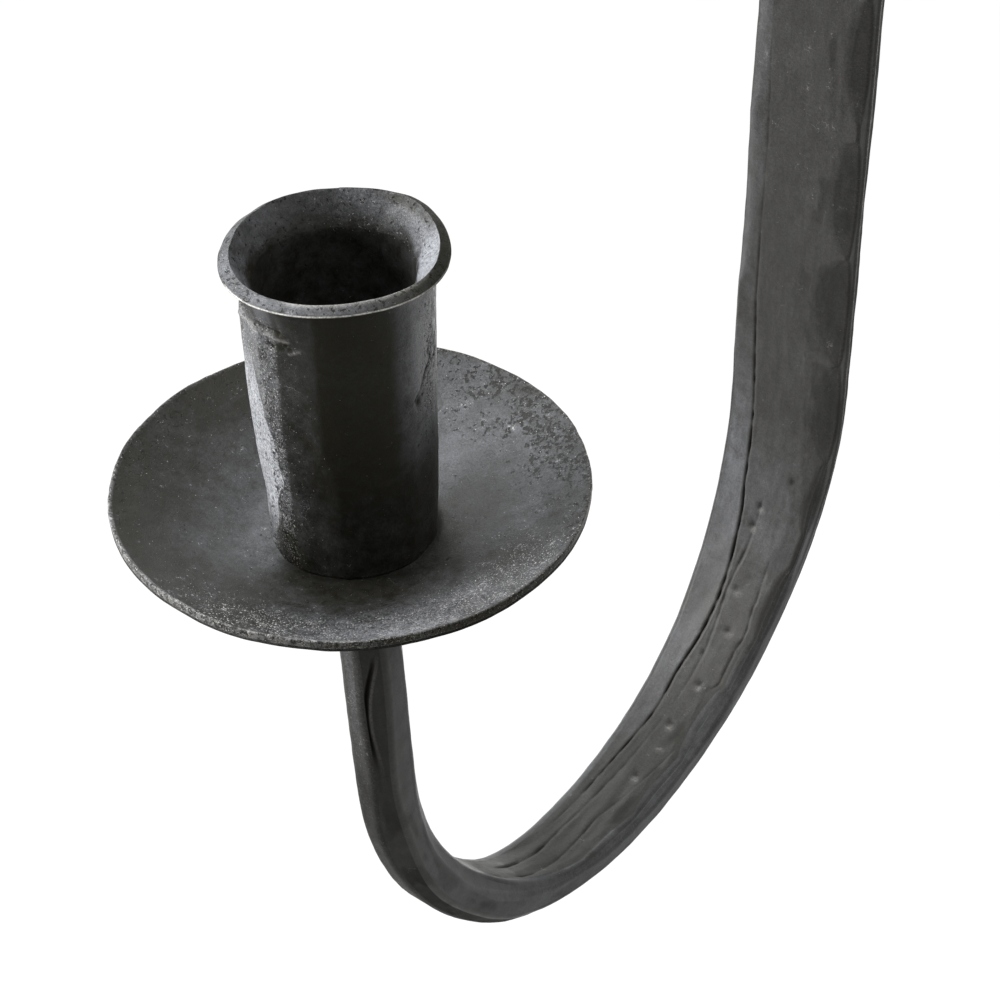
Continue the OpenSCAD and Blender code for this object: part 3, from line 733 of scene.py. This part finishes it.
def makePan(c):
    r, h, kind, length = turned(panProfile(c), c.columns)
    rows, cols = r.shape
    rim, top = kind == 1, kind == 2
    angle = toCamera + np.repeat((np.arange(cols) / cols * 2 * pi)[None], rows, 0)
    turn = np.angle(np.exp(1j * (angle - toCamera)))
    deg = np.degrees(turn)
    place = np.stack([np.cos(angle) * r, np.sin(angle) * r, angle * 0], -1)
    # the dish is uneven, its rim rises, and a faint ring shows where the cup's foot was brazed down
    h2 = h + rise(r, 16, 12) * (0.16 * layered(place, 13, 131) + 0.05 * layered(place, 3.5, 137))
    leanUp = r * (c.rimRise[0] * np.cos(turn) + c.rimRise[1] * np.sin(turn))
    h2 += rise(r, 15, 20) * (c.rimUp + leanUp) + 0.5 * rise(r, 20, 16) * bell(deg, -45, 38)
    h2 += 0.05 * bell(r, 14.6, 0.45) * top
    r2 = r + rise(r, 34, 3) * (0.09 * layered(place, 8, 141) - c.rimIn)
    r2 += 0.05 * rim * layered(np.stack([place[..., 0], place[..., 1], h * 3], -1), 1.1, 151)
    fromFoot = np.maximum(r - 13.5, 0)
    frontLeft = facing(deg, -38, 0.35, 0.45)
    # wear on the rim, with a painted highlight along its front left
    wearAndGlint = rim * (0.04 + 0.2 * frontLeft) * (0.8 + 0.6 * noise(place, 0.8, 161))
    # scale has come away in dark blotches near the right of the rim
    blotches = rise(layered(place, 2.6, 171), -0.45, 0.6) * bell(deg, 125, 48) * rise(r, 23, 8)
    # painted light: on the rim, most at its front left; beside the tube, fading towards the rim; and across
    # the dish's front. Painted shade dips, mostly the cup's shadow on the right, darken it
    right, left = facing(deg, 108, -0.05, 0.75), facing(deg, -100, -0.1, 0.8)
    dip = 0.3 * span(deg, 42, 20, 138, 30) * np.exp(-(np.maximum(r - 19, 0) / 8) ** 2)
    dip += 0.28 * bell(deg, 60, 15) * bell(r, 29, 4) + 0.11 * rise(r, 28, 6) * bell(deg, -100, 33)
    paintedLight = rim * (0.1 + 0.5 * frontLeft) + top * (
        0.09 * (1 - rise(r, 23, 8) * drop(deg, -40, 30))
        + 0.76 * left * np.exp(-fromFoot / 5.5) * drop(deg, -34, 26)
        + 0.5 * right * (1 - 0.5 * rise(r, 26, 12)) * (1 - 2 * dip)
        + 1.15 * bell(deg, 17, 25) * unit((r - 19) / 15))
    # painted shade round the foot, in front of the tube, in the dips, towards the rim on the left, and on the
    # rim's lower edge
    rimLow = rim * span(deg, -25, 30, 72, 25) * (h < -0.15)
    front = bell(deg, 22, 58) * np.exp(-(fromFoot / 6.5) ** 1.5)
    dirtAndShade = 0.4 * rimLow + top * most(
        0.8 * bell(r, 13.4, 0.8) * (0.3 + 0.7 * facing(deg, 35, -0.3, 0.9)),
        0.8 * front,
        0.5 * dip,
        0.16 * rise(r, 29, 7) * span(deg, -125, 20, -50, 25))
    pit = 1.4 * rim + top * (0.25 + 1.1 * blotches + 0.6 * rise(r, 31, 5) * rise(np.abs(deg), 60, 30))
    spark = rim * (0.75 + 0.25 * frontLeft) + top * (
        0.3 + 0.75 * facing(deg, 14, 0.25, 0.6) * rise(r, 20, 11) + 0.25 * blotches)
    pts = standing(r2 * np.cos(angle), r2 * np.sin(angle), h2)
    piece = gridMesh("dripPan", pts, np.stack([length, angle / 6.3], -1), dict(
        wearAndGlint=unit(wearAndGlint), dirtAndShade=unit(dirtAndShade), paintedLight=np.clip(paintedLight, 0, 1.6), spark=unit(spark),
        pit=np.clip(pit, 0, 1.4)))
    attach(piece, "root")
    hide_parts("drip_pan")
    print("pan:", rows, "rows of", cols)
    return piece


armPiece = makeArm(arm)
cupPiece = makeCup(cup)
panPiece = makePan(pan)


# Materials. Every pattern is in metres on Object coordinates, so a scale is in patterns per metre
class Nodes:
    def __init__(self, owner):
        self.owner = owner    # a new material or world
        owner.use_nodes = True
        self.tree = owner.node_tree
        self.tree.nodes.clear()

    def add(self, kind, values=None, **settings):
        # values go to the inputs, as links or as constants, and settings to the node itself
        n = self.tree.nodes.new("ShaderNode" + kind)
        for key, value in settings.items():
            setattr(n, key, value)
        for key, value in (values or {}).items():
            if isinstance(value, bpy.types.NodeSocket):
                self.tree.links.new(value, n.inputs[key])
            else:
                n.inputs[key].default_value = value
        return n

    def mix(self, share, a, b, how="MIX"):
        return self.add("Mix", {0: share, 6: a, 7: b}, data_type="RGBA", blend_type=how).outputs[2]

    def math(self, how, a, b=0.0, clamp=False):
        return self.add("Math", {0: a, 1: b}, operation=how, use_clamp=clamp).outputs[0]

    def plus(self, a, b, clamp=False):
        return self.math("ADD", a, b, clamp)

    def minus(self, a, b):
        return self.math("SUBTRACT", a, b)

    def times(self, a, b, clamp=False):
        return self.math("MULTIPLY", a, b, clamp)

    def centred(self, value, gain):
        # how far a pattern stands from its middle, times the gain
        return self.times(self.minus(value, 0.5), gain)

    def above(self, value, limit, gain):
        # how far it stands above a limit, times the gain, from 0 to 1
        return self.times(self.minus(value, limit), gain, True)

    def spread(self, value, low, high, to0=0.0, to1=1.0):
        values = {"Value": value, "From Min": low, "From Max": high, "To Min": to0, "To Max": to1}
        return self.add("MapRange", values).outputs["Result"]


def grey(level, tint=(1, 1, 1)):
    return (level * tint[0], level * tint[1], level * tint[2], 1)


def ironMaterial(name, c):
    m = Nodes(bpy.data.materials.new(name))
    place = m.add("TexCoord").outputs["Object"]

    def pattern(scale, detail=3.0, rough=0.6, where=place):
        values = {"Vector": where, "Scale": scale, "Detail": detail, "Roughness": rough}
        return m.add("TexNoise", values).outputs["Fac"]

    def reading(key):
        return m.add("Attribute", attribute_name=key).outputs["Fac"]

    wearAndGlint, dirtAndShade, paintedLight, spark, pit = [reading(key) for key in ("wearAndGlint", "dirtAndShade", "paintedLight", "spark", "pit")]
    patches = pattern(c.patchScale, 5, 0.65)
    mottle = pattern(c.mottleScale, 5, 0.72)
    finer = pattern(c.grainScale * 2.3, 2, 0.6)
    grain = m.plus(m.times(pattern(c.grainScale, 3, 0.65), 0.5), m.times(finer, 0.5))
    # the painted-light share of a place, broken up by patches and mottles
    broken = m.plus(m.centred(patches, 1.3), m.centred(mottle, 1.5))
    broken = m.times(broken, m.plus(m.times(paintedLight, 0.9), 0.35))
    share = m.plus(m.times(paintedLight, 0.85), broken, True)
    colour = m.mix(share, grey(c.dark, c.darkTint), grey(c.light, c.lightTint))
    # grain makes every place lighter or darker, and painted light above 1 lightens it further
    depth = m.times(m.spread(spark, 0.2, 1, 0.3, 1), c.grainDepth)
    light = m.plus(1, m.times(depth, m.spread(grain, 0.4, 0.6, -1, 1)))
    light = m.times(light, m.spread(paintedLight, 1, 1.8, 1, 2.7))
    light = m.add("CombineXYZ", {0: light, 1: light, 2: light}).outputs[0]
    colour = m.mix(1, colour, light, "MULTIPLY")
    if c.streaks:
        surface = m.add("UVMap", uv_map="surface").outputs["UV"]
        stretch = (c.streaks, c.streaks * 5, 1)
        surface = m.add("Mapping", {"Vector": surface, "Scale": stretch}).outputs["Vector"]
        streak = pattern(1, 4, 0.6, surface)
        colour = m.mix(1, colour, m.mix(m.spread(streak, 0.35, 0.65), grey(0.86), grey(1.14)), "MULTIPLY")
    # small dark blotches where scale has come away, and worn places that show brighter metal, with painted
    # glints among them
    blot = pattern(c.blotScale, 6, 0.78)
    blot = m.spread(blot, 0.57, 0.63, 0, c.blotShare)
    colour = m.mix(blot, colour, grey(c.dark * 0.6, c.darkTint))
    wornAndGlint = m.times(wearAndGlint, m.spread(grain, 0.36, 0.56, 0.25, 1.15), True)
    colour = m.mix(wornAndGlint, colour, grey(c.wearLevel, (1, 0.98, 0.94)))
    # small dark pits, many where the mesh says so
    clump = pattern(c.pitScale * 0.21, 3, 0.7)
    limit = m.minus(c.pitLimit, m.plus(m.times(pit, c.pitMore), m.centred(clump, 0.22)))
    pitted = m.above(pattern(c.pitScale, 2.5, 0.6), limit, 18)
    pitted = m.times(pitted, m.minus(1, wearAndGlint))
    colour = m.mix(m.times(pitted, c.pitShare), colour, grey(c.dark * 0.45, c.darkTint))
    # sparkles: the tops of a fine noise, and short crooked scratches
    limit = m.minus(c.speckLimit, m.plus(m.times(spark, c.speckMore), m.centred(clump, 0.16)))
    speck = m.above(pattern(c.speckScale, 2, 0.5), limit, 30)
    offLine = m.math("ABSOLUTE", m.minus(pattern(c.scratchScale, 2, 0.5), 0.5))
    line = m.math("SUBTRACT", 1, m.times(offLine, 55), True)
    some = m.above(m.plus(mottle, m.times(spark, 0.14)), 0.66, 12)
    speck = m.math("MAXIMUM", speck, m.times(line, some))
    colour = m.mix(m.times(speck, c.speckShare), colour, grey(c.speckLevel, (1, 0.985, 0.96)))
    # dirt and painted shade darken the colour towards a warm black
    colour = m.mix(m.times(dirtAndShade, 0.92, True), colour, grey(c.dirtLevel, (1, 0.97, 0.65)))
    # smoother where the painted light is and rougher with dirt and painted shade; the bump comes from grain,
    # mottles and pits
    rough = m.plus(m.times(mottle, 0.6), m.times(grain, 0.4))
    rough = m.spread(rough, 0.35, 0.65, c.roughLow, c.roughHigh)
    rough = m.minus(rough, m.times(paintedLight, 0.08))
    rough = m.plus(rough, m.times(dirtAndShade, 0.3), True)
    fine = pattern(c.grainScale * 2.1, 2, 0.6)
    height = m.plus(m.times(grain, 0.55), m.times(fine, 0.35))
    height = m.plus(height, m.times(mottle, 0.8))
    height = m.minus(height, m.times(pitted, 0.6))
    bump = m.add("Bump", {"Height": height, "Strength": c.bump, "Distance": c.bumpDepth})
    level = m.times(m.minus(1, m.times(dirtAndShade, 0.75)), c.specular)
    sheen = m.mix(m.spread(dirtAndShade, 0.05, 0.35, 0, 0.75), grey(1, c.sheen), grey(1, c.sootSheen))
    shader = m.add("BsdfPrincipled", {
        "Base Color": colour, "Roughness": rough, "Normal": bump.outputs["Normal"],
        "Specular IOR Level": level, "Specular Tint": sheen})
    m.add("OutputMaterial", {"Surface": shader.outputs["BSDF"]})
    return m.owner


bothIrons = dict(roughHigh=0.6, specular=0.2, sheen=(1, 0.99, 0.97))
forgedIron = Settings(
    bothIrons, patchScale=45, mottleScale=260, grainScale=1900, grainDepth=0.45, streaks=14,
    dark=0.0445, light=0.14, darkTint=(1, 0.985, 0.94), lightTint=(0.96, 0.98, 1.06),
    blotScale=330, blotShare=0.35, speckScale=2800, speckLimit=0.79, speckMore=0.1, speckShare=0.8,
    speckLevel=0.26, wearLevel=0.22, dirtLevel=0.006, pitScale=900, pitLimit=0.74, pitMore=0.1,
    pitShare=0.4, scratchScale=600, roughLow=0.38, bump=0.5, bumpDepth=0.0001, sootSheen=(1, 0.985, 0.93))
sheetIron = Settings(
    bothIrons, patchScale=80, mottleScale=420, grainScale=2300, grainDepth=0.85, streaks=0,
    dark=0.015, light=0.17, darkTint=(1, 0.96, 0.72), lightTint=(0.95, 0.98, 1.06),
    blotScale=380, blotShare=0.4, speckScale=3600, speckLimit=0.785, speckMore=0.16, speckShare=0.9,
    speckLevel=0.7, wearLevel=0.8, dirtLevel=0.007, pitScale=1350, pitLimit=0.72, pitMore=0.16,
    pitShare=0.95, scratchScale=800, roughLow=0.36, bump=0.9, bumpDepth=0.00014, sootSheen=(1, 0.95, 0.55))
armPiece.data.materials.append(ironMaterial("forgedBlackIron", forgedIron))
sheet = ironMaterial("hammeredSheetIron", sheetIron)
cupPiece.data.materials.append(sheet)
panPiece.data.materials.append(sheet)


def steelMaterial(name, level, rough):
    m = Nodes(bpy.data.materials.new(name))
    place = m.add("TexCoord").outputs["Object"]
    haze = m.add("TexNoise", {"Vector": place, "Scale": 700, "Detail": 4}).outputs["Fac"]
    colour = m.mix(m.spread(haze, 0.35, 0.65), grey(level * 0.7), grey(level))
    bump = m.add("Bump", {"Height": haze, "Strength": 0.2, "Distance": 0.0001}).outputs["Normal"]
    shader = m.add("BsdfPrincipled", {
        "Base Color": colour, "Roughness": m.spread(haze, 0.3, 0.7, rough, rough + 0.2), "Normal": bump,
        "Metallic": 0.9})
    m.add("OutputMaterial", {"Surface": shader.outputs["BSDF"]})
    return m.owner


def dress(nodeName, material):
    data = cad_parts[nodeName].data
    data.materials.clear()
    data.materials.append(material)


fixingSteel = steelMaterial("sootedSteel", 0.2, 0.35)
dress("clamp_screw", fixingSteel)
dress("screw_washer", fixingSteel)
dress("cup_floor", steelMaterial("sootedFloor", 0.03, 0.6))
print("materials made")

# Stage: a pale floor far below the hook, and a world that is pale where it is seen and dim where it lights
# the object
stage = Settings(floorDrop=0.55, floorSize=40, floorShade=0.82, floorGlow=1.06, glowShare=0.93,
                 worldLight=0.085, worldTint=(1, 0.97, 0.84, 1))


def seenAsBackground(m):
    # 1 for a ray from the camera or from a shiny or clear surface, 0 for one that lights the object
    path = m.add("LightPath").outputs
    shiny = m.math("MAXIMUM", path["Is Camera Ray"], path["Is Glossy Ray"])
    return m.math("MAXIMUM", shiny, path["Is Transmission Ray"])


def makeStage(c):
    z = armLow.z - c.floorDrop
    h = c.floorSize / 2
    mesh = bpy.data.meshes.new("studioFloor")
    mesh.from_pydata([(-h, -h, z), (h, -h, z), (h, h, z), (-h, h, z)], [], [(0, 1, 2, 3)])
    floor = newObject("studioFloor", mesh)
    m = Nodes(bpy.data.materials.new("paleFloor"))
    matt = m.add("BsdfDiffuse", {"Color": grey(c.floorShade)}).outputs[0]
    white = m.add("Emission", {"Strength": c.floorGlow}).outputs[0]
    share = m.times(seenAsBackground(m), c.glowShare)
    mixed = m.add("MixShader", {0: share, 1: matt, 2: white}).outputs[0]
    m.add("OutputMaterial", {"Surface": mixed})
    mesh.materials.append(m.owner)
    m = Nodes(bpy.data.worlds.new("studio"))
    bpy.context.scene.world = m.owner
    dim = m.add("Background", {"Color": c.worldTint, "Strength": c.worldLight}).outputs[0]
    white = m.add("Background", {"Color": (1, 1, 1, 1), "Strength": 1.0}).outputs[0]
    mixed = m.add("MixShader", {0: seenAsBackground(m), 1: dim, 2: white}).outputs[0]
    m.add("OutputWorld", {"Surface": mixed})


makeStage(stage)

# Lamps: each stands 1 m from the middle of the rim, at its bearing from the camera and its height angle
lamps = dict(
    keyLeft=Settings(bearing=-95, height=14, size=0.55, power=15, tint=(1, 0.995, 0.98)),
    backLeft=Settings(bearing=-150, height=50, size=0.6, power=8.5, tint=(0.94, 0.97, 1)),
    back=Settings(bearing=180, height=28, size=0.6, power=2.2, tint=(0.97, 0.99, 1)),
    above=Settings(bearing=0, height=85, size=0.6, power=2.8, tint=(1, 0.99, 0.97)),
    right=Settings(bearing=90, height=50, size=0.6, power=1.6, tint=(1, 0.98, 0.95)),
    lowRight=Settings(bearing=150, height=-20, size=0.5, power=2.5, tint=(1, 0.99, 0.97)),
)


def makeLamp(name, c):
    data = bpy.data.lights.new(name, "AREA")
    data.shape = "SQUARE"
    data.size = c.size
    data.energy = c.power
    data.color = c.tint
    lamp = newObject(name, data)
    turn, rising = toCamera + radians(c.bearing), radians(c.height)
    away = np.array([cos(turn) * cos(rising), sin(turn) * cos(rising), sin(rising)])
    lamp.location = np.array([0, axisY, rimZ]) + away
    # a lamp shines along its own minus Z: tipped from straight down, then turned to face the candle
    lamp.rotation_euler = (pi / 2 - rising, 0, turn + pi / 2)


for lampName, settings in lamps.items():
    makeLamp(lampName, settings)
bpy.context.scene.view_settings.view_transform = "Standard"
print("stage and lamps set")
